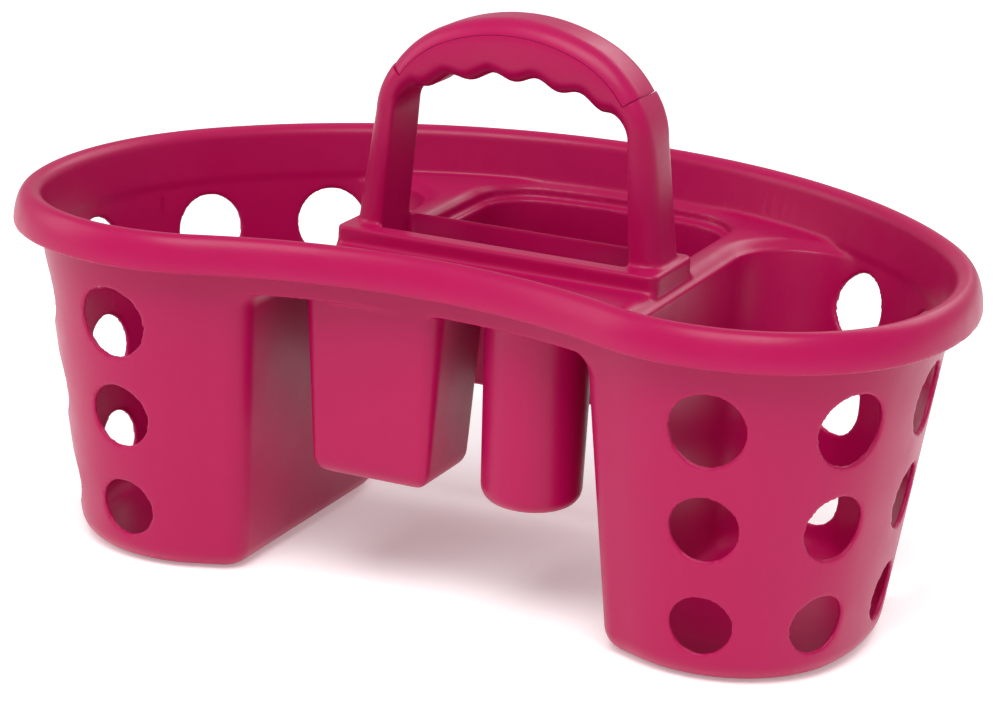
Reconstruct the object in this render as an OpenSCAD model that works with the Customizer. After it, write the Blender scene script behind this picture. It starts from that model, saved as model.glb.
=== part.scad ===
// Cleaning caddy: a kidney-shaped tote with two deep perforated baskets, a bridge between them
// that carries two cups and a rear bin, and an arched handle closed by a separate grip cap.
// Millimetres, +Z up. The origin is at the middle of the footprint, on the floor.
// The long axis is X, and the concave front of the kidney faces -Y.

/* [Tub outline] */
// Overall length of the rim along X
tub_length = 400; // [380:1:430]
// Angle that the concave front arc turns on each side of the middle
front_turn = 24.6; // [23:0.1:26]
// Radius of the rim's rounded ends
end_radius = 81; // [76:1:84]
// Angle that each rounded end turns through
end_turn = 100.1; // [98:0.1:102]
// Radius of the flatter shoulder behind each rounded end
shoulder_radius = 134; // [126:1:142]
// Angle that each shoulder turns through
shoulder_turn = 52.7; // [50:0.1:55]

/* [Walls] */
// Height of the rim's crest above the floor
rim_height = 147.7; // [144:0.1:156]
// Wall thickness of the moulding
wall = 2.2; // [1.8:0.1:2.6]
// How far the wall sits inside the rim's lip, measured at the lip's lower edge
wall_inset = 10.9; // [10:0.1:12]
// Inward lean of the outer walls, in millimetres per millimetre of height
wall_draft = 0.1434; // [0.12:0.001:0.16]
// Height of the rim's outer flange
lip_height = 15.1; // [14:0.1:16]
// Height at which the baskets end and the rim band begins
band_z = 122.6; // [120:0.1:124]

/* [Baskets] */
// Distance from the middle to a basket's straight inner wall, at the floor
inner_wall_x = 79.5; // [77:0.1:83]
// Lean of the straight inner wall towards the middle, per millimetre of height
inner_draft = 0.043; // [0.03:0.001:0.05]
// Radius of the front corner beside the gap
front_corner = 12; // [9:0.5:14]
// Radius of the rear corner beside the gap
rear_corner = 31; // [26:0.5:34]
// Radius of the rounded edge around the floor
floor_round = 9; // [7:0.5:10]
// Diameter of the holes in the top, middle and bottom rows
hole_d = [29.5, 26.5, 24]; // [20:0.5:31]
// Heights of the three rows of holes
hole_z = [105.1, 64.5, 23.9]; // [22:0.1:106]

/* [Bridge] */
// Height of the deck between the baskets
deck_z = 127; // [126.5:0.1:128]
// Thickness of the deck
deck_t = 2.6; // [2:0.1:3]
// Height of the raised plinth that the handle stands on
plinth_z = 134.4; // [133:0.1:136]
// Half width of the plinth
plinth_half = 71; // [70:0.5:72]
// Front edge of the plinth
plinth_front = -30.2; // [-31:0.1:-29]
// Rear edge of the plinth
plinth_rear = 10.8; // [10:0.1:12]
// Radius of the fillet under each end of the bridge
bridge_fillet = 11; // [8:0.5:12]

/* [Cups and bin] */
// Height of the underside of both cups
cup_z = 48; // [44:0.5:60]
// Middle of the square cup, along X
square_cup_x = -24; // [-27:0.5:-22]
// Middle of the square cup, along Y
square_cup_y = -67.2; // [-68:0.1:-66]
// Outer width of the square cup at its mouth
square_cup_w = 60; // [54:0.5:61]
// Outer depth of the square cup at its mouth, from front to back
square_cup_l = 50; // [46:0.5:51]
// Inward lean of the square cup's walls, per millimetre of depth
square_cup_draft = 0.065; // [0.05:0.001:0.08]
// Middle of the round cup, along X
round_cup_x = 39.5; // [37:0.5:42]
// Middle of the round cup, along Y
round_cup_y = -70.6; // [-72:0.1:-68]
// Outer diameter of the round cup at its mouth
round_cup_d = 43; // [41:0.5:44]
// Outer diameter of the round cup at its foot
round_cup_foot_d = 40; // [38:0.5:41]
// Half width of the rear bin at its mouth
bin_half = 58; // [56:0.5:60]
// Front edge of the rear bin's mouth
bin_front = 12.8; // [12:0.1:14]
// Height of the underside of the rear bin
bin_z = 60; // [52:1:80]

/* [Handle] */
// Height of the top of the grip
handle_top = 226.5; // [222:0.5:232]
// Front face of the handle
handle_front = -21.2; // [-22:0.1:-20]
// Depth of the handle from front to back
handle_depth = 28; // [26:0.5:29]
// Half of the clear width between the legs, at their feet
leg_gap_half = 54.7; // [54:0.1:55.5]
// Height of the finger bumps under the grip, from crest to middle
scallop = 1.5; // [0.8:0.1:2]
// Distance between neighbouring finger bumps
scallop_pitch = 19; // [18:0.5:20]
// Thickness of the cap over the grip
cap_t = 6.3; // [5.5:0.1:7]

/* [Hidden] */
plastic = "#C2315F";
// Directions in which a basket's columns of holes face
hole_facing = [-82, -32, 3, 34.5, 52];
square_cup_at = [square_cup_x, square_cup_y];
square_cup_size = [square_cup_w, square_cup_l];
round_cup_at = [round_cup_x, round_cup_y];

// Kidney outline: four tangent arcs on each side of the middle. Directions are those
// in which the outline faces, so parallel outlines share them.
end_start = -90 - front_turn;
end_stop = end_start + end_turn;
shoulder_stop = end_stop + shoulder_turn;
end_x = tub_length / 2 - shoulder_radius - (end_radius - shoulder_radius) * cos(end_stop);
front_radius = end_x / sin(front_turn) - end_radius;
end_rise = (front_radius + end_radius) * cos(front_turn);
shoulder_x = end_x + (end_radius - shoulder_radius) * cos(end_stop);
shoulder_rise = end_rise + (end_radius - shoulder_radius) * sin(end_stop);
back_radius = shoulder_radius + shoulder_x / cos(shoulder_stop);
back_rise = shoulder_rise - (back_radius - shoulder_radius) * sin(shoulder_stop);
// The front arc's centre is placed so that the footprint is centred on the origin
front_y = -(end_rise - end_radius + back_rise + back_radius) / 2;
front_c = [0, front_y];
end_c = [end_x, front_y + end_rise];
shoulder_c = [shoulder_x, front_y + shoulder_rise];
back_c = [0, front_y + back_rise];

lip_z = rim_height - lip_height;
draft_angle = atan(wall_draft);
deck_under = deck_z - deck_t;
// The band's inner face stands upright where the deck meets it
band_inset = wall_inset + wall_draft * (lip_z - band_z) + wall - 0.3;
handle_mid = handle_front + handle_depth / 2;
round_steps = 4;

// Points of an arc from direction a to direction b, without the last one
function arc(c, r, a, b, n) =
    [for (i = [0:n - 1]) c + r * [cos(a + (b - a) * i / n), sin(a + (b - a) * i / n)]];

// One side of the kidney, inset by e, from the front middle to the back middle
function half_outline(e) = concat(
    arc(front_c, front_radius + e, 90, 90 - front_turn, 5),
    arc(end_c, end_radius - e, end_start, end_stop, 16),
    arc(shoulder_c, shoulder_radius - e, end_stop, shoulder_stop, 8),
    arc(back_c, back_radius - e, shoulder_stop, 90, 8),
    [back_c + [0, back_radius - e]]);

// The other side of a half plan that ends on the middle line, from its last point to its
// first; skip is 1 if the first point is on the middle line too
function mirrored(points, skip) =
    [for (i = [len(points) - 2:-1:skip]) [-points[i].x, points[i].y]];

function outline(e) = concat(half_outline(e), mirrored(half_outline(e), 1));

// How far the outer wall is inside the lip at a height z
function wall_at(z) = wall_inset + wall_draft * (lip_z - z);

// Straight inner wall of a basket at a height z
function inner_x(z) = inner_wall_x - inner_draft * z;

// Centre of a corner of radius r that rounds the line at x into the front or the back arc
function front_corner_c(x, e, r) =
    [x + r, front_y + sqrt(pow(front_radius + e + r, 2) - pow(x + r, 2))];
function rear_corner_c(x, e, r) =
    [x + r, back_c.y + sqrt(pow(back_radius - e - r, 2) - pow(x + r, 2))];
function direction(from, to) = atan2(to.y - from.y, to.x - from.x);

// Plan of the right basket: kidney inset by e, cut off at x, with rounded corners
function basket_plan(e, x, front_r, rear_r) =
    let (fc = front_corner_c(x, e, front_r))
    let (rc = rear_corner_c(x, e, rear_r))
    let (fa = direction(front_c, fc))
    let (ra = direction(back_c, rc))
    concat(
        arc(front_c, front_radius + e, fa, 90 - front_turn, 1),
        arc(end_c, end_radius - e, end_start, end_stop, 16),
        arc(shoulder_c, shoulder_radius - e, end_stop, shoulder_stop, 8),
        arc(back_c, back_radius - e, shoulder_stop, ra, 4),
        arc(rc, rear_r, ra, 180, 7),
        arc(fc, front_r, 180, 180 + fa, 5));

function at_height(points, z) = [for (p = points) [p.x, p.y, z]];

// A ring of the basket: s is the distance in from the outer skin, z its height
function basket_ring(s, z) =
    at_height(basket_plan(wall_at(z) + s, inner_x(z) + s, front_corner - s, rear_corner - s), z);

// Steps of a rounded edge of radius r as [inset, height] pairs, from the flat to the wall
function rounded(r) =
    [for (i = [0:round_steps]) [r * (1 - sin(90 * i / round_steps)),
                                r * (1 - cos(90 * i / round_steps))]];

function reversed(list) = [for (i = [len(list) - 1:-1:0]) list[i]];

// Skin through rings of equal length, closed by flat faces at both ends
module loft(rings) {
    n = len(rings[0]);
    last = (len(rings) - 1) * n;
    sides = [for (k = [0:len(rings) - 2], i = [0:n - 1])
        let (j = (i + 1) % n)
        each [[k * n + i, k * n + j + n, k * n + j], [k * n + i, k * n + i + n, k * n + j + n]]];
    polyhedron(points = [for (r = rings) each r],
               faces = concat([[for (i = [0:n - 1]) i]],
                              sides,
                              [[for (i = [n - 1:-1:0]) last + i]]));
}

// Skin through rings that return to the first one, like a picture frame
module loop_loft(rings) {
    n = len(rings[0]);
    m = len(rings);
    polyhedron(points = [for (r = rings) each r],
               faces = [for (k = [0:m - 1], i = [0:n - 1])
        let (j = (i + 1) % n, up = ((k + 1) % m) * n)
        each [[k * n + i, up + j, k * n + j], [k * n + i, up + i, up + j]]]);
}

// Rounded rectangle made of straight strips and round corners
module rounded_rect(size, r) {
    square([size.x - 2 * r, size.y], center = true);
    square([size.x, size.y - 2 * r], center = true);
    for (sx = [-1, 1], sy = [-1, 1])
        translate([sx * (size.x / 2 - r), sy * (size.y / 2 - r)]) circle(r, $fn = 32);
}

// ---- Rim: the upper band of the tub, rolled over into an outer flange ----

// The crest is set in from the lip, and the tub side rolls over into it
crest_inset = 6.3;
inner_roll = 5;

// The flange's skin falls from the crest (90 degrees) to the lip (0) as part of an ellipse.
// e is the depth below the outer skin.
function flange(e, t) =
    [crest_inset - (crest_inset - e) * cos(t), lip_z + (lip_height - e) * sin(t)];

// Section of the rim as [inset from the lip, height]: up the inside, over the crest, down
// the flange and back up beneath it
function rim_section() =
    let (roll_z = rim_height - inner_roll)
    let (roll_x = wall_at(roll_z) + wall - crest_inset)
    concat(
        [[band_inset, band_z], [band_inset, deck_z + 0.4]],
        [for (t = [0:30:60]) [crest_inset + roll_x * cos(t), roll_z + inner_roll * sin(t)]],
        [for (t = [90:-15:15]) flange(0, t)],
        [[0, lip_z + wall / 3], [wall / 3, lip_z]],
        [for (t = [0:15:75]) flange(wall, t)],
        [[wall_at(roll_z), roll_z], [wall_at(band_z), band_z]]);

module rim() {
    color(plastic)
        loop_loft([for (p = rim_section()) at_height(outline(p.x), p.y)]);
}

// ---- Baskets: drafted cups with a rounded floor edge and three rows of round holes ----

// Centre of the outline's arc that faces a direction, and its radius there
function facing_centre(a) =
    a < end_stop ? end_c : a < shoulder_stop ? shoulder_c : back_c;
function facing_radius(a) =
    a < end_stop ? end_radius : a < shoulder_stop ? shoulder_radius : back_radius;

// Bore of a hole, square to the drafted wall and long enough for the wall's curve
module wall_hole(a, z, d) {
    reach = 18;
    r = facing_radius(a) - wall_at(z) - wall / 2;
    at = facing_centre(a) + r * [cos(a), sin(a)];
    translate([at.x, at.y, z]) rotate([0, 90 + draft_angle, a])
        cylinder(h = reach, d = d, center = true, $fn = 48);
}

module basket_shell() {
    outer = [for (p = rounded(floor_round)) basket_ring(p[0], p[1])];
    inner = [for (p = reversed(rounded(floor_round - wall)))
        basket_ring(wall + p[0], wall + p[1])];
    loft(concat(outer, [basket_ring(0, band_z)], [basket_ring(wall, band_z)], inner));
}

module right_basket() {
    color(plastic) difference() {
        basket_shell();
        for (a = hole_facing, row = [0:2]) wall_hole(a, hole_z[row], hole_d[row]);
    }
}

module left_basket() {
    mirror([1, 0, 0]) right_basket();
}

// ---- Centre bridge: deck, raised plinth for the handle, and the fillets below ----

// Plan of a basket's mouth, run out into the band so that nothing is left around it
module basket_mouth() {
    polygon(basket_plan(wall_at(band_z), inner_x(band_z) + wall, front_corner - wall,
                        rear_corner - wall));
}

module deck_plan() {
    difference() {
        polygon(outline(band_inset));
        basket_mouth();
        mirror([1, 0]) basket_mouth();
    }
}

// Fillet between the deck and a basket's inner wall, on the side of the gap. Its curve is
// set a blunt edge below the deck.
module bridge_corner() {
    r = bridge_fillet;
    blunt = 0.4;
    low = deck_under - r;
    front = front_corner_c(inner_x(band_z), wall_at(band_z), front_corner).y;
    rear = rear_corner_c(inner_x(band_z), wall_at(band_z), rear_corner).y;
    curve = arc([inner_x(low) - r, low - blunt], r, 90, 8, 7);
    translate([0, rear, 0]) rotate([90, 0, 0]) linear_extrude(rear - front)
        polygon(concat([[inner_x(low), low], [inner_x(band_z), band_z],
                        [inner_x(band_z), deck_under + 1], [curve[0].x, deck_under + 1]], curve));
}

module cup_mouths() {
    translate([square_cup_at.x, square_cup_at.y, band_z - 1]) linear_extrude(deck_z - band_z + 2)
        rounded_rect(square_cup_size - [2 * wall, 2 * wall], square_cup_corner - wall);
    translate([round_cup_at.x, round_cup_at.y, band_z - 1])
        cylinder(h = deck_z - band_z + 2, d = round_cup_d - 2 * wall, $fn = 64);
}

module centre_bridge() {
    mid = (plinth_front + plinth_rear) / 2;
    edge_w = 3;
    plinth_corner = 4;
    color(plastic) difference() {
        union() {
            translate([0, 0, deck_under]) linear_extrude(deck_t) deck_plan();
            // Thicker edge that stands on the baskets' inner walls
            translate([0, 0, band_z]) linear_extrude(deck_under - band_z) difference() {
                deck_plan();
                square([2 * (inner_x(band_z) - edge_w), tub_length], center = true);
            }
            translate([0, mid, deck_under]) linear_extrude(plinth_z - deck_under)
                rounded_rect([2 * plinth_half, plinth_rear - plinth_front], plinth_corner);
            bridge_corner();
            mirror([1, 0, 0]) bridge_corner();
        }
        cup_mouths();
        // Slot beneath the grip, from the front to the back of the handle
        translate([-leg_gap_half, handle_front, band_z - 1])
            cube([2 * leg_gap_half, handle_depth, plinth_z - band_z + 2]);
        translate([0, 0, band_z - 1]) linear_extrude(deck_z - band_z + 2)
            polygon(bin_plan(wall));
    }
}

// ---- Rear bin: an open box behind the handle whose back follows the tub's wall ----

// The bin's back wall stands just inside the band
bin_back_inset = band_inset + 1.3;
bin_rear_corner = 28;
bin_front_corner = 10;
bin_floor_round = 3.6;
bin_draft = 0.05;
// A narrow ledge runs round the bin below its mouth
bin_ledge = 3.4;
bin_ledge_z = 120.4;

// One side of the bin's plan, inset by s, from the front corner to the back middle
function bin_side(s) =
    let (x = bin_half + wall - s)
    let (y = bin_front - wall + s)
    let (fr = max(bin_front_corner - s, 1.5))
    let (rr = bin_rear_corner - s)
    let (back_r = back_radius - bin_back_inset - s)
    let (rc = [x - rr, back_c.y + sqrt(pow(back_r - rr, 2) - pow(x - rr, 2))])
    let (ra = direction(back_c, rc))
    concat(
        arc([x - fr, y + fr], fr, -90, 0, 5),
        [[x, y + fr]],
        arc(rc, rr, 0, ra, 6),
        arc(back_c, back_r, ra, 90, 5),
        [back_c + [0, back_r]]);
function bin_plan(s) = concat(bin_side(s), mirrored(bin_side(s), 0));

// A ring of the bin's mouth, and one of its drafted body below the ledge
function mouth_ring(s, z) = at_height(bin_plan(s), z);
function body_ring(s, z) =
    at_height(bin_plan(s + bin_ledge + bin_draft * (bin_ledge_z - z)), z);

module rear_bin() {
    under = bin_ledge_z - wall;
    outer = [for (p = rounded(bin_floor_round)) body_ring(p[0], bin_z + p[1])];
    inner = [for (p = reversed(rounded(bin_floor_round - wall)))
        body_ring(wall + p[0], bin_z + wall + p[1])];
    color(plastic) loft(concat(outer,
        [body_ring(0, under), mouth_ring(0, under), mouth_ring(0, deck_under),
         mouth_ring(wall, deck_under), mouth_ring(wall, bin_ledge_z),
         body_ring(wall, bin_ledge_z)],
        inner));
}

// ---- Cups: drafted, with rounded floor edges, hung beneath the deck ----

square_cup_corner = 8;
square_cup_foot = 5;
round_cup_foot = 7;

// Plan of the square cup, inset by s
function cup_rect(s) =
    let (r = max(square_cup_corner - s, 1))
    let (h = square_cup_size / 2 - [s + r, s + r])
    [for (p = concat(arc([h.x, -h.y], r, -90, 0, 5), [[h.x + r, -h.y]],
                     arc([h.x, h.y], r, 0, 90, 5), [[h.x, h.y + r]],
                     arc([-h.x, h.y], r, 90, 180, 5), [[-h.x - r, h.y]],
                     arc([-h.x, -h.y], r, 180, 270, 5), [[-h.x, -h.y - r]]))
        square_cup_at + p];

function cup_ring(s, z) =
    at_height(cup_rect(s + square_cup_draft * (deck_under - z)), z);

module square_cup() {
    outer = [for (p = rounded(square_cup_foot)) cup_ring(p[0], cup_z + p[1])];
    inner = [for (p = reversed(rounded(square_cup_foot - wall)))
        cup_ring(wall + p[0], cup_z + wall + p[1])];
    color(plastic)
        loft(concat(outer, [cup_ring(0, deck_under)], [cup_ring(wall, deck_under)], inner));
}

module round_cup() {
    top = deck_under - cup_z;
    r = round_cup_d / 2;
    foot = round_cup_foot_d / 2;
    edge = round_cup_foot;
    color(plastic) translate([round_cup_at.x, round_cup_at.y, cup_z])
        rotate_extrude($fn = 64) difference() {
            union() {
                polygon([[0, 0], [foot - edge, 0], [foot, edge], [r, top], [0, top]]);
                translate([foot - edge, edge]) circle(edge, $fn = 48);
            }
            translate([-2 * edge, -1]) square([2 * edge, top + 2]);
            polygon([[0, wall], [foot - edge, wall], [foot - wall, edge], [r - wall, top],
                     [r - wall, top + 1], [0, top + 1]]);
        }
}

// ---- Handle: an arch whose outer and inner curves are chains of arcs ----

// The outer curve turns by top_turn on the top arc, then on a tighter shoulder
top_radius = 80;
top_turn = 25;
side_radius = 48.4;
leg_turn = 82.2;
// The inner curve turns by grip_turn under the grip, then in a tight corner
grip_z = 202.3;
grip_radius = 110;
grip_turn = 23.6;
nook_radius = 12;
inner_turn = 85.9;
// Outer turning angle that pairs with the end of the grip, and with the end of the cap
grip_end_turn = 46;
cap_end_turn = 57;

// A point on a chain of two arcs, after turning by t from the top
function chained(top, r1, t1, r2, t) =
    t <= t1 ? [r1 * sin(t), top - r1 * (1 - cos(t))]
            : [r1 * sin(t1) + r2 * (sin(t) - sin(t1)),
               top - r1 * (1 - cos(t1)) - r2 * (cos(t1) - cos(t))];
function outer_at(t) = chained(handle_top, top_radius, top_turn, side_radius, t);
function inner_at(t) = chained(grip_z, grip_radius, grip_turn, nook_radius, t);

// Finger bumps fade out towards the ends of the grip
bumps_half = 44;
bumps_fade = 5;
function bump(x) =
    let (fade = min(1, max(0, (bumps_half - abs(x)) / bumps_fade)))
    scallop * fade * cos(360 * x / scallop_pitch);

// Stations along the right half of the arch as [inner point, outer point, grip share].
// The grip share is 1 along the grip and 0 on the leg.
grip_steps = 22;
corner_steps = 6;
function grip_station(i) =
    let (p = inner_at(grip_turn * i / grip_steps))
    [p - [0, bump(p.x)], outer_at(grip_end_turn * i / grip_steps), 1];
function corner_station(i) =
    let (f = i / corner_steps)
    [inner_at(grip_turn + (inner_turn - grip_turn) * f),
     outer_at(grip_end_turn + (leg_turn - grip_end_turn) * f), 1 - f];
leg_outer_end = outer_at(leg_turn);
leg_foot_outer = [leg_outer_end.x + (leg_outer_end.y - plinth_z) / tan(leg_turn), plinth_z];
right_stations = concat(
    [for (i = [1:grip_steps]) grip_station(i)],
    [for (i = [1:corner_steps]) corner_station(i)],
    [[[leg_gap_half, plinth_z], leg_foot_outer, 0]]);
left_stations = [for (s = right_stations) [[-s[0].x, s[0].y], [-s[1].x, s[1].y], s[2]]];
stations = concat(reversed(right_stations), [grip_station(0)], left_stations);

// Section of the handle at a station: u runs from the inner to the outer curve and
// v from the front to the back. Corners are rounded, most of all under the grip.
leg_inner_edge = 1.8;
grip_inner_edge = 8.3;
outer_edge = 6;
function handle_section(thick, grip) =
    let (ri = leg_inner_edge + (grip_inner_edge - leg_inner_edge) * grip)
    let (ro = outer_edge)
    let (h = handle_depth / 2)
    concat(
        arc([ri, -h + ri], ri, 180, 270, 4), [[ri, -h]],
        arc([thick - ro, -h + ro], ro, 270, 360, 4), [[thick, -h + ro]],
        arc([thick - ro, h - ro], ro, 0, 90, 4), [[thick - ro, h]],
        arc([ri, h - ri], ri, 90, 180, 4), [[0, h - ri]]);

// Places a section's points between a station's inner and outer points
function placed(s, section) =
    let (d = s[1] - s[0])
    let (k = d / norm(d))
    [for (p = section) [s[0].x + k.x * p.x, handle_mid + p.y, s[0].y + k.y * p.x]];

// Stations of the cap, between the two shoulders; d widens or narrows its ends, in degrees
cap_steps = 14;
function cap_stations(d) =
    [for (i = [cap_steps:-1:-cap_steps])
        let (t = abs(i) / cap_steps * (cap_end_turn + d))
        let (o = outer_at(t))
        [[sign(i) * o.x, o.y], [sign(i) * sin(t), cos(t)]]];

// Sweeps a section given as [distance in from the outer curve, v]
module cap_sweep(section, d) {
    loft([for (s = cap_stations(d))
        [for (p = section) [s[0].x - s[1].x * p.x, handle_mid + p.y, s[0].y - s[1].y * p.x]]]);
}

// Recess for the cap: open above, with a narrower trough along the grip
trough_half = 8.5;
trough_deep = 6;
fit = 0.15;
module cap_recess() {
    wide = handle_depth / 2 + 2;
    above = -4;
    deep = cap_t + trough_deep;
    cap_sweep([[above, -wide], [above, wide], [cap_t, wide], [cap_t, -wide]], 0);
    cap_sweep([[cap_t - 1, -trough_half], [cap_t - 1, trough_half], [deep, trough_half],
               [deep, -trough_half]], 0);
}

module handle() {
    color(plastic) difference() {
        loft([for (s = stations) placed(s, handle_section(norm(s[1] - s[0]), s[2]))]);
        cap_recess();
    }
}

// ---- Grip cap: rounded cover with two rails that snap into the trough ----
module grip_cap() {
    h = handle_depth / 2;
    r = outer_edge;
    under = cap_t - fit;
    rail_out = trough_half - fit;
    rail_in = rail_out - wall;
    rail_end = cap_t + trough_deep / 2;
    color(plastic) {
        cap_sweep(concat(
            arc([r, -h + r], r, 270, 180, 5), [[0, -h + r]],
            arc([r, h - r], r, 180, 90, 5), [[r, h], [under, h], [under, -h]]), -0.2);
        for (side = [-1, 1]) {
            edges = [min(side * rail_out, side * rail_in), max(side * rail_out, side * rail_in)];
            cap_sweep([[under - 1, edges[0]], [under - 1, edges[1]], [rail_end, edges[1]],
                       [rail_end, edges[0]]], -1);
        }
    }
}

rim();
left_basket();
right_basket();
centre_bridge();
rear_bin();
square_cup();
round_cup();
handle();
grip_cap();
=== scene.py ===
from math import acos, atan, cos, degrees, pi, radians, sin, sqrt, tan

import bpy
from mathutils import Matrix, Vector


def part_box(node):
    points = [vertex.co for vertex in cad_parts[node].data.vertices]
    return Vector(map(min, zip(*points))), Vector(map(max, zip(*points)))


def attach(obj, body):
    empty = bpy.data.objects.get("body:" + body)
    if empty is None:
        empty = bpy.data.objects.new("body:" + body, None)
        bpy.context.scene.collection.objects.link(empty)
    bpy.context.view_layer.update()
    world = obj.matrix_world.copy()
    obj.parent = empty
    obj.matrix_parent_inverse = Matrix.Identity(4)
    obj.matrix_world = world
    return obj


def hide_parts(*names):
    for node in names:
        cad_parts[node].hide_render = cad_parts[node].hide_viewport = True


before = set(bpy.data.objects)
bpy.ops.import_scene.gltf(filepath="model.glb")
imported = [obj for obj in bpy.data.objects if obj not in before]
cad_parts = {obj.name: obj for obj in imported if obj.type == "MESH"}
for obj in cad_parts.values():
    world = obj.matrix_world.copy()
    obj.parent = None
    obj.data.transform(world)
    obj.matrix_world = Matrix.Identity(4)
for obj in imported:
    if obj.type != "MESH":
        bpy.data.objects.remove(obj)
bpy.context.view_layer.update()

# A kidney-shaped cleaning caddy, injection moulded in magenta polypropylene: one seamless tub
# moulding with its handle, and a grip cap snapped over the top of the handle.
# Shapes are worked out in millimetres and turned to metres when a piece is finished.

METRE = 0.001


# ---- Sizes, from the CAD frame and from the moulding's own radii ----

def box_mm(node):
    low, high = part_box(node)
    return [v / METRE for v in low], [v / METRE for v in high]


rim_low, rim_high = box_mm("rim")
bridge_high = box_mm("centre_bridge")[1]
bin_low, bin_high = box_mm("rear_bin")
square_low, square_high = box_mm("square_cup")
round_low, round_high = box_mm("round_cup")
handle_low, handle_high = box_mm("handle")
cap_high = box_mm("grip_cap")[1]

# Wall thickness of the mouldings
WALL = 2.2
# Kidney outline: overall length, then the angles its arcs turn through and their radii
TUB_LENGTH = 400.0
FRONT_TURN, END_TURN, SHOULDER_TURN = 24.6, 100.1, 52.7
END_R, SHOULDER_R = 81.0, 134.0
# Outer walls: distance in from the lip, and inward lean per millimetre of height
WALL_INSET, WALL_DRAFT = 10.9, 0.1434
# Rim: height of the flange, the crest's distance in from the lip, and the roll inside it
LIP_HEIGHT, CREST_INSET, INNER_ROLL = 15.1, 6.3, 5.0
RIM_Z, BAND_Z = rim_high[2], rim_low[2]
LIP_Z = RIM_Z - LIP_HEIGHT
# The deck and the plinth on it
DECK_Z, DECK_T, PLINTH_Z = 127.0, 2.6, bridge_high[2]
DECK_UNDER = DECK_Z - DECK_T
# Straight inner wall of a basket: its place at the floor and its lean to the middle
INNER_X, INNER_DRAFT = 79.5, 0.065
# Radii of a basket's corners beside the gap, and of the edge around its floor
FRONT_CORNER, REAR_CORNER, FLOOR_ROUND = 12.0, 31.0, 9.0
# Holes: diameters and heights from the top row down, and the way each column faces
HOLE_D, HOLE_Z = (29.5, 26.5, 24.0), (105.1, 64.5, 23.9)
HOLE_FACING = (-82, -32, 3, 34.5, 52)
# The deck rolls over into the baskets above, and meets their walls in a fillet below
DECK_ROLL, BRIDGE_FILLET = 8.8, 9.0
# How far regions run into each other before they are joined
OVERLAP = 0.4


# ---- Plans: lists of (x, y) points, anticlockwise ----

def arc(centre, radius, start, stop, n):
    """n points of an arc, in degrees, without the last one."""
    step = (stop - start) / n
    return [(centre[0] + radius * cos(radians(start + step * i)),
             centre[1] + radius * sin(radians(start + step * i))) for i in range(n)]


# The kidney is four tangent arcs on each side of the middle: front, end, shoulder, back
END_START = -90 - FRONT_TURN
END_STOP = END_START + END_TURN
SHOULDER_STOP = END_STOP + SHOULDER_TURN
end_x = TUB_LENGTH / 2 - SHOULDER_R - (END_R - SHOULDER_R) * cos(radians(END_STOP))
FRONT_R = end_x / sin(radians(FRONT_TURN)) - END_R
end_rise = (FRONT_R + END_R) * cos(radians(FRONT_TURN))
shoulder_x = end_x + (END_R - SHOULDER_R) * cos(radians(END_STOP))
shoulder_rise = end_rise + (END_R - SHOULDER_R) * sin(radians(END_STOP))
BACK_R = SHOULDER_R + shoulder_x / cos(radians(SHOULDER_STOP))
back_rise = shoulder_rise - (BACK_R - SHOULDER_R) * sin(radians(SHOULDER_STOP))
front_y = -(end_rise - END_R + back_rise + BACK_R) / 2
FRONT_C = (0, front_y)
END_C = (end_x, front_y + end_rise)
SHOULDER_C = (shoulder_x, front_y + shoulder_rise)
BACK_C = (0, front_y + back_rise)


def kidney(e):
    """The tub's plan, inset by e from the lip."""
    half = (arc(FRONT_C, FRONT_R + e, 90, 90 - FRONT_TURN, 33)
            + arc(END_C, END_R - e, END_START, END_STOP, 80)
            + arc(SHOULDER_C, SHOULDER_R - e, END_STOP, SHOULDER_STOP, 64)
            + arc(BACK_C, BACK_R - e, SHOULDER_STOP, 90, 70))
    back = (0, BACK_C[1] + BACK_R - e)
    return half + [back] + [(-x, y) for x, y in reversed(half[1:])]


def wall_at(z):
    return WALL_INSET + WALL_DRAFT * (LIP_Z - z)


def inner_x(z):
    return INNER_X - INNER_DRAFT * z


# The band's inner face is a little thinner than the walls and stands upright
BAND_THINNING = 0.3
BAND_INSET = wall_at(BAND_Z) + WALL - BAND_THINNING


def facing(start, to):
    x, y = to[0] - start[0], to[1] - start[1]
    turn = degrees(acos(x / sqrt(x * x + y * y)))
    return turn if y >= 0 else -turn


def basket_plan(e, x, front_r, rear_r):
    """Plan of the right basket: the kidney inset by e, cut off at x, with round corners."""
    fc = (x + front_r, front_y + sqrt((FRONT_R + e + front_r) ** 2 - (x + front_r) ** 2))
    rc = (x + rear_r, BACK_C[1] + sqrt((BACK_R - e - rear_r) ** 2 - (x + rear_r) ** 2))
    fa, ra = facing(FRONT_C, fc), facing(BACK_C, rc)
    return (arc(FRONT_C, FRONT_R + e, fa, 90 - FRONT_TURN, 8)
            + arc(END_C, END_R - e, END_START, END_STOP, 80)
            + arc(SHOULDER_C, SHOULDER_R - e, END_STOP, SHOULDER_STOP, 64)
            + arc(BACK_C, BACK_R - e, SHOULDER_STOP, ra, 20)
            + arc(rc, rear_r, ra, 180, 48)
            + arc(fc, front_r, 180, 180 + fa, 32))


def rounded_rect(centre, half_x, half_y, r):
    x, y = half_x - r, half_y - r
    corners = ((x, -y, -90), (x, y, 0), (-x, y, 90), (-x, -y, 180))
    plan = []
    for cx, cy, start in corners:
        plan += arc((centre[0] + cx, centre[1] + cy), r, start, start + 90, 12)
        plan.append((centre[0] + cx + r * round(cos(radians(start + 90))),
                     centre[1] + cy + r * round(sin(radians(start + 90)))))
    return plan


def at(plan, z):
    return [(x, y, z) for x, y in plan]


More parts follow.
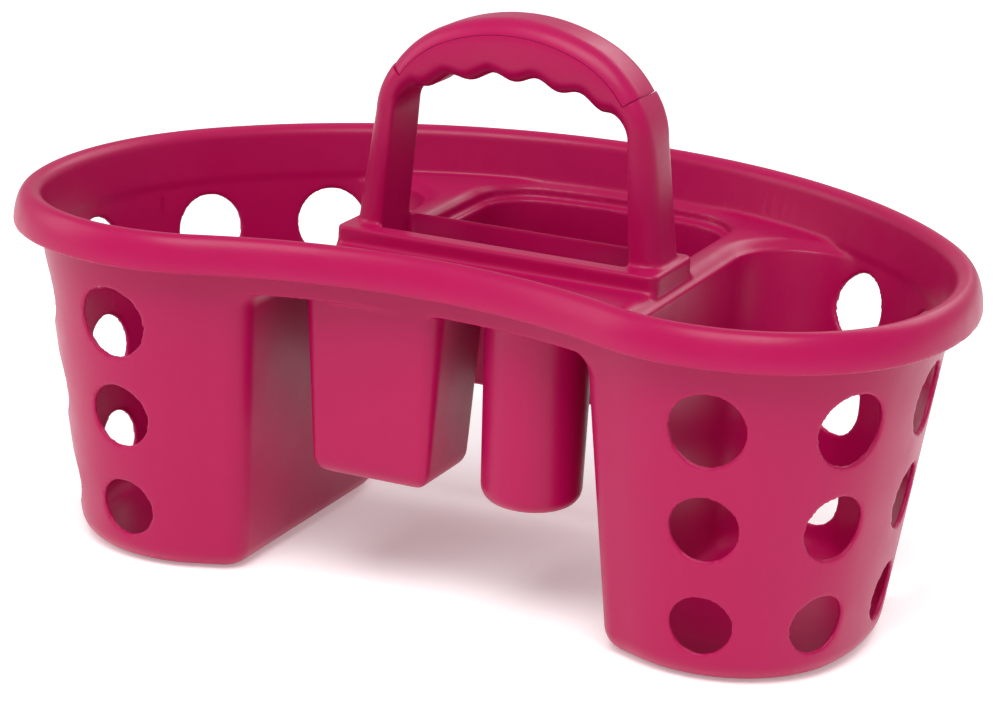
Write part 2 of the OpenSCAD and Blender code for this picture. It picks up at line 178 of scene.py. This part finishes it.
def quarter(r, n=8):
    """Steps of a rounded edge as (inset, height), from the flat up to the wall."""
    return [(r * (1 - sin(pi / 2 * i / n)), r * (1 - cos(pi / 2 * i / n)))
            for i in range(n + 1)]


# ---- Solids: lofts through rings, joined and cut as the mould would shape them ----

def solid(name, rings, loop=False):
    """A skin through rings of equal length, closed at both ends or back to the first."""
    n, m = len(rings[0]), len(rings)
    points = [p for ring in rings for p in ring]
    faces = []
    for k in range(m if loop else m - 1):
        here, above = k * n, (k + 1) % m * n
        for i in range(n):
            j = (i + 1) % n
            faces.append((here + i, here + j, above + j, above + i))
    if not loop:
        faces.append(tuple(reversed(range(n))))
        faces.append(tuple(range((m - 1) * n, m * n)))
    mesh = bpy.data.meshes.new(name)
    mesh.from_pydata(points, [], faces)
    mesh.update()
    piece = bpy.data.objects.new(name, mesh)
    bpy.context.collection.objects.link(piece)
    return piece


def apply_modifiers(piece):
    """Keeps what the modifiers make and drops the modifiers."""
    graph = bpy.context.evaluated_depsgraph_get()
    mesh = bpy.data.meshes.new_from_object(piece.evaluated_get(graph))
    piece.modifiers.clear()
    old, piece.data = piece.data, mesh
    bpy.data.meshes.remove(old)


def combine(piece, others, operation):
    """Joins or cuts piece with each of the others, which are used up."""
    for other in others:
        cut = piece.modifiers.new(operation, "BOOLEAN")
        cut.operation = operation
        cut.solver = "MANIFOLD"
        cut.object = other
        apply_modifiers(piece)
        bpy.data.meshes.remove(other.data)
    return piece


def mirrored(piece):
    """Flips a solid over to the other side of the middle."""
    piece.data.transform(Matrix.Scale(-1, 4, (1, 0, 0)))
    piece.data.flip_normals()
    return piece


# ---- Rim ----

def flange(e, t):
    """The flange falls from the crest, at 90 degrees, to the lip as part of an ellipse."""
    return (CREST_INSET - (CREST_INSET - e) * cos(radians(t)),
            LIP_Z + (LIP_HEIGHT - e) * sin(radians(t)))


def rim_solid():
    roll_z = RIM_Z - INNER_ROLL
    roll_x = wall_at(roll_z) + WALL - CREST_INSET
    blunt_in, blunt_up = 0.1, 0.6
    section = [(BAND_INSET, BAND_Z), (BAND_INSET, DECK_Z + OVERLAP)]
    section += [(CREST_INSET + roll_x * cos(radians(t)), roll_z + INNER_ROLL * sin(radians(t)))
                for t in range(0, 90, 10)]
    section += [flange(0, t) for t in range(90, 3, -6)]
    section += [(blunt_in, LIP_Z + blunt_up), (blunt_in + blunt_up, LIP_Z)]
    section += [flange(WALL, t) for t in range(3, 78, 6)]
    section += [(wall_at(roll_z + 1), roll_z + 1), (wall_at(BAND_Z), BAND_Z)]
    rings = [at(kidney(e), z) for e, z in section]
    return solid("rim_band", rings, loop=True)


# ---- Baskets ----

def basket_ring(s, z):
    return at(basket_plan(wall_at(z) + s, inner_x(z) + s, FRONT_CORNER - s, REAR_CORNER - s), z)


def hole_cutter(a, z, d):
    """A round bore, square to the drafted wall."""
    if a < END_STOP:
        centre, radius = END_C, END_R
    elif a < SHOULDER_STOP:
        centre, radius = SHOULDER_C, SHOULDER_R
    else:
        centre, radius = BACK_C, BACK_R
    out = radius - wall_at(z) - WALL / 2
    spot = (centre[0] + out * cos(radians(a)), centre[1] + out * sin(radians(a)), z)
    rim = arc((0, 0), d / 2, 0, 360, 72)
    reach = 9
    bore = solid("bore", [at(rim, -reach), at(rim, reach)])
    turn = Matrix.Rotation(radians(a), 4, "Z") @ Matrix.Rotation(pi / 2 + atan(WALL_DRAFT), 4, "Y")
    bore.data.transform(Matrix.Translation(spot) @ turn)
    return bore


def basket_solid():
    top = BAND_Z + 1
    outer = [basket_ring(s, h) for s, h in quarter(FLOOR_ROUND)]
    inner = [basket_ring(WALL + s, WALL + h) for s, h in reversed(quarter(FLOOR_ROUND - WALL))]
    return solid("basket", outer + [basket_ring(0, top), basket_ring(WALL, top)] + inner)


def basket_bores():
    return [hole_cutter(a, z, d) for a in HOLE_FACING for z, d in zip(HOLE_Z, HOLE_D)]


# ---- Bridge: a deck that rolls over into the baskets, and the plinth for the handle ----

# Openings are cut from well below the deck to well above it
CUT_LOW, CUT_HIGH = 90.0, DECK_Z + 9
# Height from which the space under the deck is cleared
CLEAR_LOW = 80.0


def mouth_cutter():
    """The opening of a basket through the deck, rolled over at its upper edge."""
    e, x = wall_at(BAND_Z) + WALL, inner_x(BAND_Z) + WALL

    def ring(f, z):
        return at(basket_plan(e - f, x - f, FRONT_CORNER - WALL + f, REAR_CORNER - WALL + f), z)
    roll = [ring(h, DECK_Z - s) for s, h in quarter(DECK_ROLL)]
    return solid("mouth", [ring(0, CUT_LOW)] + roll + [ring(DECK_ROLL, CUT_HIGH)])


def basket_block():
    """A basket's outer form, spread at the top by the fillet under the deck."""
    def ring(f, z):
        return at(basket_plan(wall_at(z) - f, inner_x(z) - f, FRONT_CORNER + f,
                              REAR_CORNER + f), z)
    fillet = [ring(h, DECK_UNDER - s) for s, h in quarter(BRIDGE_FILLET)]
    return solid("block", [ring(0, CLEAR_LOW)] + fillet + [ring(BRIDGE_FILLET, CUT_HIGH)])


PLINTH_HALF, PLINTH_FRONT, PLINTH_REAR = 71.0, -30.2, 10.8
# Half of the clear width between the handle's legs, which is also the slot's
LEG_GAP_HALF = 54.7


def plinth_solid():
    mid, half_y = (PLINTH_FRONT + PLINTH_REAR) / 2, (PLINTH_REAR - PLINTH_FRONT) / 2
    foot, edge, corner, sunk = 1.4, 1.1, 4.5, DECK_UNDER + 0.05

    def ring(s, z):
        return at(rounded_rect((0, mid), PLINTH_HALF - max(s, 0), half_y - s,
                               corner - max(s, 0)), z)
    rings = [ring(-foot, sunk)]
    rings += [ring(-h, DECK_Z + s) for s, h in reversed(quarter(foot, 4))]
    rings += [ring(s, PLINTH_Z - h) for s, h in reversed(quarter(edge, 4))]
    return solid("plinth", rings)


def small_mouth(name, plan, edge):
    """An opening through the deck, rounded at its upper edge; plan(f) is spread by f."""
    rings = [at(plan(0), CUT_LOW)] + [at(plan(h), DECK_Z - s) for s, h in quarter(edge, 5)]
    return solid(name, rings + [at(plan(edge), CUT_HIGH)])


def bridge_solid():
    inset, slot_corner, slot_low = 5, 0.6, 100
    bin_edge, cup_edge = 5.0, 1.4
    deck = solid("deck", [at(kidney(wall_at(z) + BAND_THINNING), z)
                          for z in (DECK_UNDER - BRIDGE_FILLET, DECK_Z)])
    below = solid("below", [at(kidney(inset), z) for z in (CLEAR_LOW, DECK_UNDER)])
    combine(below, [basket_block(), mirrored(basket_block())], "DIFFERENCE")
    combine(deck, [below, mouth_cutter(), mirrored(mouth_cutter())], "DIFFERENCE")
    combine(deck, [plinth_solid()], "UNION")
    slot_plan = rounded_rect((0, HANDLE_MID), LEG_GAP_HALF, HANDLE_HALF, slot_corner)
    slot = solid("slot", [at(slot_plan, slot_low), at(slot_plan, PLINTH_Z + 9)])
    bin_mouth = small_mouth("bin_mouth", lambda f: bin_plan(WALL - f), bin_edge)
    square_mouth = small_mouth("square_mouth", lambda f: rounded_rect(
        SQUARE_AT, SQUARE_HALF[0] - WALL + f, SQUARE_HALF[1] - WALL + f,
        SQUARE_CORNER - WALL + f), cup_edge)
    round_mouth = small_mouth("round_mouth", lambda f: arc(
        ROUND_AT, ROUND_R - WALL + f, 0, 360, 72), cup_edge)
    return combine(deck, [slot, bin_mouth, square_mouth, round_mouth], "DIFFERENCE")


# ---- Rear bin ----

BIN_HALF, BIN_FRONT = bin_high[0] - WALL, bin_low[1] + WALL
# The bin's back wall stands just inside the band
BIN_BACK_INSET = BAND_INSET + 1.3
BIN_REAR_CORNER, BIN_FRONT_CORNER, BIN_FLOOR_ROUND = 28.0, 10.0, 3.6
# A narrow ledge runs round the bin below its mouth
BIN_DRAFT, BIN_LEDGE, BIN_LEDGE_Z = 0.05, 3.4, 120.4


def bin_plan(s):
    x, y = BIN_HALF + WALL - s, BIN_FRONT - WALL + s
    fr, rr = max(BIN_FRONT_CORNER - s, 1.5), BIN_REAR_CORNER - s
    back_r = BACK_R - BIN_BACK_INSET - s
    rc = (x - rr, BACK_C[1] + sqrt((back_r - rr) ** 2 - (x - rr) ** 2))
    ra = facing(BACK_C, rc)
    half = (arc((x - fr, y + fr), fr, -90, 0, 14) + [(x, y + fr)] + arc(rc, rr, 0, ra, 36)
            + arc(BACK_C, back_r, ra, 90, 30))
    return half + [(0, BACK_C[1] + back_r)] + [(-px, py) for px, py in reversed(half)]


def bin_solid():
    def mouth(s, z):
        return at(bin_plan(s), z)

    def body(s, z):
        return at(bin_plan(s + BIN_LEDGE + BIN_DRAFT * (BIN_LEDGE_Z - z)), z)
    foot, under, top = bin_low[2], BIN_LEDGE_Z - WALL, DECK_UNDER + OVERLAP / 2
    outer = [body(s, foot + h) for s, h in quarter(BIN_FLOOR_ROUND)]
    inner = [body(WALL + s, foot + WALL + h)
             for s, h in reversed(quarter(BIN_FLOOR_ROUND - WALL))]
    return solid("bin", outer + [body(0, under), mouth(0, under), mouth(0, top),
                                 mouth(WALL, top), mouth(WALL, BIN_LEDGE_Z),
                                 body(WALL, BIN_LEDGE_Z)] + inner)


# ---- Cups ----

SQUARE_AT = ((square_low[0] + square_high[0]) / 2, (square_low[1] + square_high[1]) / 2)
SQUARE_HALF = ((square_high[0] - square_low[0]) / 2, (square_high[1] - square_low[1]) / 2)
SQUARE_DRAFT, SQUARE_CORNER, SQUARE_FOOT = 0.065, 8.0, 8.0
ROUND_AT = ((round_low[0] + round_high[0]) / 2, (round_low[1] + round_high[1]) / 2)
ROUND_R, ROUND_FOOT_R, ROUND_FOOT = (round_high[0] - round_low[0]) / 2, 20.0, 7.0
CUP_Z = square_low[2]


def square_cup_solid():
    def ring(s, z):
        e = s + SQUARE_DRAFT * (DECK_UNDER - z)
        return at(rounded_rect(SQUARE_AT, SQUARE_HALF[0] - e, SQUARE_HALF[1] - e,
                               max(SQUARE_CORNER - e, 1)), z)
    outer = [ring(s, CUP_Z + h) for s, h in quarter(SQUARE_FOOT)]
    inner = [ring(WALL + s, CUP_Z + WALL + h) for s, h in reversed(quarter(SQUARE_FOOT - WALL))]
    top = DECK_UNDER + OVERLAP
    return solid("square_cup_shell", outer + [ring(0, top), ring(WALL, top)] + inner)


def round_cup_solid():
    def ring(s, z):
        r = ROUND_FOOT_R + (ROUND_R - ROUND_FOOT_R) * (z - CUP_Z) / (DECK_UNDER - CUP_Z)
        return at(arc(ROUND_AT, r - s, 0, 360, 96), z)
    outer = [ring(s, CUP_Z + h) for s, h in quarter(ROUND_FOOT)]
    inner = [ring(WALL + s, CUP_Z + WALL + h) for s, h in reversed(quarter(ROUND_FOOT - WALL))]
    top = DECK_UNDER + OVERLAP
    return solid("round_cup_shell", outer + [ring(0, top), ring(WALL, top)] + inner)


# ---- Handle: an arch between two chains of arcs, with finger bumps under the grip ----

HANDLE_TOP = cap_high[2]
HANDLE_MID = (handle_low[1] + handle_high[1]) / 2
HANDLE_HALF = (handle_high[1] - handle_low[1]) / 2
# Outer curve: a wide arc on top, then a tighter one down to the leg
TOP_R, TOP_TURN, SIDE_R, LEG_TURN = 80.0, 25.0, 48.4, 82.2
# Inner curve: a wide arc under the grip, then a tight corner down to the leg
GRIP_Z, GRIP_R, GRIP_TURN, NOOK_R, INNER_TURN = 202.3, 110.0, 23.6, 12.0, 85.9
# Turning angles of the outer curve at the ends of the grip and of the cap
GRIP_END_TURN, CAP_END_TURN = 46.0, 57.0
# Finger bumps under the grip: height, distance apart, and where they fade out
SCALLOP, SCALLOP_PITCH, BUMPS_HALF, BUMPS_FADE = 1.5, 19.0, 44.0, 5.0
# Rounding of the section's edges
LEG_EDGE, GRIP_EDGE, OUTER_EDGE = 1.8, 7.0, 8.5
# Cap: its thickness, and the trough below it that takes its rails
CAP_T, TROUGH_HALF, TROUGH_DEEP, FIT = 6.3, 8.5, 6.0, 0.15


def chained(top, r1, t1, r2, t):
    """(x, z) on a chain of two arcs, after turning by t degrees from the top."""
    a, b = radians(min(t, t1)), radians(max(t, t1))
    turn = radians(t1)
    return (r1 * sin(a) + r2 * (sin(b) - sin(turn)),
            top - r1 * (1 - cos(a)) - r2 * (cos(turn) - cos(b)))


def outer_at(t):
    return chained(HANDLE_TOP, TOP_R, TOP_TURN, SIDE_R, t)


def inner_at(t):
    return chained(GRIP_Z, GRIP_R, GRIP_TURN, NOOK_R, t)


def bump(x):
    fade = min(1, max(0, (BUMPS_HALF - abs(x)) / BUMPS_FADE))
    return SCALLOP * fade * cos(2 * pi * x / SCALLOP_PITCH)


def stations():
    """(inner point, outer point, grip share) from the right foot over to the left foot."""
    grip_n, corner_n = 90, 20
    right = []
    for i in range(grip_n + 1):
        x, z = inner_at(GRIP_TURN * i / grip_n)
        right.append(((x, z - bump(x)), outer_at(GRIP_END_TURN * i / grip_n), 1))
    for i in range(1, corner_n + 1):
        f = i / corner_n
        right.append((inner_at(GRIP_TURN + (INNER_TURN - GRIP_TURN) * f),
                      outer_at(GRIP_END_TURN + (LEG_TURN - GRIP_END_TURN) * f), 1 - f))
    end, sunk = outer_at(LEG_TURN), PLINTH_Z - 3
    foot = (end[0] + (end[1] - sunk) / tan(radians(LEG_TURN)), sunk)
    right.append(((LEG_GAP_HALF, sunk), foot, 0))
    left = [((-i[0], i[1]), (-o[0], o[1]), g) for i, o, g in right[1:]]
    return right[::-1] + left


def handle_section(thick, grip):
    """(u, v): u from the inner to the outer curve, v from the front to the back."""
    ri, h = LEG_EDGE + (GRIP_EDGE - LEG_EDGE) * grip, HANDLE_HALF
    flat = 0.5
    ro = min(OUTER_EDGE, thick - ri - flat)
    return (arc((ri, -h + ri), ri, 180, 270, 10) + [(ri, -h)]
            + arc((thick - ro, -h + ro), ro, 270, 360, 10) + [(thick, -h + ro)]
            + arc((thick - ro, h - ro), ro, 0, 90, 10) + [(thick - ro, h)]
            + arc((ri, h - ri), ri, 90, 180, 10) + [(0, h - ri)])


def cap_sweep(name, section, spread):
    """Sweeps a section of (distance in from the outer curve, v) between the shoulders."""
    n, rings = 40, []
    for i in range(n, -n - 1, -1):
        t = abs(i) / n * (CAP_END_TURN + spread)
        side = (i > 0) - (i < 0)
        x, z = outer_at(t)
        out = (side * sin(radians(t)), cos(radians(t)))
        rings.append([(side * x - out[0] * u, HANDLE_MID + v, z - out[1] * u)
                      for u, v in section])
    return solid(name, rings)


def arch_solid():
    rings = []
    for inner, outer, grip in stations():
        x, z = outer[0] - inner[0], outer[1] - inner[1]
        thick = sqrt(x * x + z * z)
        rings.append([(inner[0] + x * u / thick, HANDLE_MID + v, inner[1] + z * u / thick)
                      for u, v in handle_section(thick, grip)])
    return solid("arch", rings)


def cap_seat():
    """The space for the cap over the grip, and the narrower trough for its rails."""
    wide, above, deep = HANDLE_HALF + 2, -4, CAP_T + TROUGH_DEEP
    seat = cap_sweep("seat", [(above, -wide), (above, wide), (CAP_T, wide), (CAP_T, -wide)], 0)
    trough = cap_sweep("trough", [(CAP_T - 1, -TROUGH_HALF), (CAP_T - 1, TROUGH_HALF),
                                  (deep, TROUGH_HALF), (deep, -TROUGH_HALF)], 0)
    return [seat, trough]


def cap_solid():
    h, r, under = HANDLE_HALF, OUTER_EDGE, CAP_T - FIT
    rail_out, rail_end = TROUGH_HALF - FIT, CAP_T + TROUGH_DEEP / 2
    rail_in = rail_out - WALL
    cut = degrees(acos((r - under) / r))
    section = arc((r, -h + r), r, 180 + cut, 180, 10) + [(0, -h + r)]
    section += arc((r, h - r), r, 180, 180 - cut, 10)
    section += [(under, h - r + r * sin(radians(cut)))]
    section += [(under, rail_out), (rail_end, rail_out), (rail_end, rail_in), (under, rail_in)]
    section += [(under, -rail_in), (rail_end, -rail_in), (rail_end, -rail_out),
                (under, -rail_out)]
    return cap_sweep("grip_cap_cover", section, -0.2)


# ---- The two mouldings ----

# Faces that meet at more than this angle keep a crisp edge, in degrees
CRISP_ANGLE = 55


def finish_piece(piece, name, nodes, material):
    piece.name = piece.data.name = name
    piece.data.transform(Matrix.Scale(METRE, 4))
    piece.data.shade_smooth()
    piece.data.set_sharp_from_angle(angle=radians(CRISP_ANGLE))
    piece.data.materials.clear()
    piece.data.materials.append(material)
    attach(piece, "root")
    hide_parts(*nodes)


def tub_moulding():
    """All regions of the tub in one skin, with the soft edges that a mould leaves."""
    tub = rim_solid()
    regions = [basket_solid(), mirrored(basket_solid()), bridge_solid(), bin_solid(),
               square_cup_solid(), round_cup_solid(), arch_solid()]
    combine(tub, regions, "UNION")
    combine(tub, basket_bores() + [mirrored(bore) for bore in basket_bores()], "DIFFERENCE")
    skin = tub.modifiers.new("skin", "REMESH")
    skin.mode = "VOXEL"
    skin.voxel_size = 0.9
    soften = tub.modifiers.new("soften", "SMOOTH")
    soften.factor = 0.5
    soften.iterations = 5
    thin = tub.modifiers.new("thin", "DECIMATE")
    thin.ratio = 0.16
    apply_modifiers(tub)
    return combine(tub, cap_seat(), "DIFFERENCE")


def grip_cap_moulding():
    cap = cap_solid()
    edge = cap.modifiers.new("edge", "BEVEL")
    edge.width = 0.2
    edge.segments = 2
    edge.limit_method = "ANGLE"
    edge.angle_limit = radians(50)
    apply_modifiers(cap)
    return cap


# ---- Materials ----

def colour(hex_code):
    """An sRGB hex colour as linear red, green, blue and alpha."""
    values = [int(hex_code[i:i + 2], 16) / 255 for i in (1, 3, 5)]
    return [v / 12.92 if v <= 0.04045 else ((v + 0.055) / 1.055) ** 2.4 for v in values] + [1]


def add(tree, kind, inputs=(), **settings):
    """Adds a node with its settings; inputs pairs a socket with a value or another's output."""
    made = tree.nodes.new("ShaderNode" + kind)
    for key, value in settings.items():
        setattr(made, key, value)
    for key, value in dict(inputs).items():
        if isinstance(value, bpy.types.NodeSocket):
            tree.links.new(value, made.inputs[key])
        else:
            made.inputs[key].default_value = value
    return made


def moulded_polypropylene(name, base, deep):
    """Polypropylene, injection moulded against a satin-polished steel: an even, strongly
    coloured plastic with a soft gloss, faint flow clouds and a very fine skin texture."""
    material = bpy.data.materials.new(name)
    material.use_nodes = True
    tree = material.node_tree
    tree.nodes.clear()
    place = add(tree, "TexCoord").outputs["Object"]

    # Flow clouds in the colour, some 45 mm across
    clouds = add(tree, "TexNoise", {"Vector": place, "Scale": 1 / 0.045, "Detail": 3})
    tint = add(tree, "Mix", {"Factor": clouds.outputs["Fac"], "A": colour(deep),
                             "B": colour(base)}, data_type="RGBA")

    # Handling marks make the gloss uneven, in patches some 18 mm across
    marks = add(tree, "TexNoise", {"Vector": place, "Scale": 1 / 0.018, "Detail": 5,
                                   "Roughness": 0.6})
    gloss = add(tree, "MapRange", {"Value": marks.outputs["Fac"], "From Min": 0.3,
                                   "From Max": 0.7, "To Min": 0.30, "To Max": 0.40})

    # Skin texture of the mould, 0.7 mm grain, and shallow sink waves some 14 mm long
    grain = add(tree, "TexNoise", {"Vector": place, "Scale": 1 / 0.0007, "Detail": 2})
    waves = add(tree, "TexNoise", {"Vector": place, "Scale": 1 / 0.014, "Detail": 1})
    rough = add(tree, "Bump", {"Height": grain.outputs["Fac"], "Strength": 0.10,
                               "Distance": 0.0002})
    skin = add(tree, "Bump", {"Height": waves.outputs["Fac"], "Strength": 0.25,
                              "Distance": 0.0003, "Normal": rough.outputs["Normal"]})

    plastic = add(tree, "BsdfPrincipled", {
        "Base Color": tint.outputs["Result"], "Roughness": gloss.outputs["Result"],
        "Normal": skin.outputs["Normal"], "IOR": 1.49, "Specular IOR Level": 0.25})
    add(tree, "OutputMaterial", {"Surface": plastic.outputs["BSDF"]})
    return material


def studio_floor_paper():
    """Matt white background paper, lit through a little: clean white with a soft contact
    shadow."""
    material = bpy.data.materials.new("studio_floor_paper")
    material.use_nodes = True
    paper = material.node_tree.nodes["Principled BSDF"]
    paper.inputs["Base Color"].default_value = colour("#FFFFFF")
    paper.inputs["Roughness"].default_value = 0.9
    paper.inputs["Emission Color"].default_value = colour("#FFFFFF")
    paper.inputs["Emission Strength"].default_value = 0.25
    return material


tub_plastic = moulded_polypropylene("moulded_polypropylene_tub", "#A8054B", "#A10448")
cap_plastic = moulded_polypropylene("moulded_polypropylene_cap", "#A9064D", "#A2054A")

tub = tub_moulding()
finish_piece(tub, "tub_moulding", ["rim", "left_basket", "right_basket", "centre_bridge",
                                   "rear_bin", "square_cup", "round_cup", "handle"],
             tub_plastic)
cap = grip_cap_moulding()
finish_piece(cap, "grip_cap_moulding", ["grip_cap"], cap_plastic)


# ---- Floor, camera and light ----

def floor():
    mesh = bpy.data.meshes.new("floor")
    far, level = 6.0, -0.0002
    mesh.from_pydata([(-far, -far, level), (far, -far, level), (far, far, level),
                      (-far, far, level)], [], [(0, 1, 2, 3)])
    mesh.materials.append(studio_floor_paper())
    ground = bpy.data.objects.new("floor", mesh)
    bpy.context.collection.objects.link(ground)


def aim(thing, spot, target, roll=0.0):
    turn = (Vector(target) - Vector(spot)).to_track_quat("-Z", "Y").to_matrix().to_4x4()
    thing.matrix_world = Matrix.Translation(spot) @ turn @ Matrix.Rotation(roll, 4, "Z")


def camera():
    lens = bpy.data.cameras.new("camera")
    lens.sensor_width = 36
    lens.lens = 118.6
    lens.clip_start = 0.05
    eye = bpy.data.objects.new("camera", lens)
    bpy.context.collection.objects.link(eye)
    azimuth, elevation, distance = radians(23.76), radians(17.24), 1.2289
    target = Vector((0.0449, -0.1196, 0.1224))
    back = Vector((sin(azimuth) * cos(elevation), -cos(azimuth) * cos(elevation),
                   sin(elevation)))
    aim(eye, target + back * distance, target, radians(2.71))
    bpy.context.scene.camera = eye


def softbox(name, spot, size, watts):
    light = bpy.data.lights.new(name, "AREA")
    light.shape = "RECTANGLE"
    light.size, light.size_y = size
    light.energy = watts
    lamp = bpy.data.objects.new(name, light)
    bpy.context.collection.objects.link(lamp)
    aim(lamp, spot, (0, 0, 0.1))


def room_light(level):
    world = bpy.context.scene.world or bpy.data.worlds.new("studio")
    bpy.context.scene.world = world
    world.use_nodes = True
    air = world.node_tree.nodes["Background"]
    air.inputs["Color"].default_value = colour("#FFFFFF")
    air.inputs["Strength"].default_value = level


# The plain view keeps the plastic's strong colour and lets the paper go to white
bpy.context.scene.view_settings.view_transform = "Standard"
floor()
camera()
softbox("key_above_front", (0.3, -1.0, 1.7), (1.4, 1.0), 30)
softbox("fill_left", (-1.7, -0.6, 0.9), (1.2, 1.2), 10)
softbox("rim_behind", (0.5, 1.5, 1.3), (1.6, 0.8), 12)
room_light(0.5)
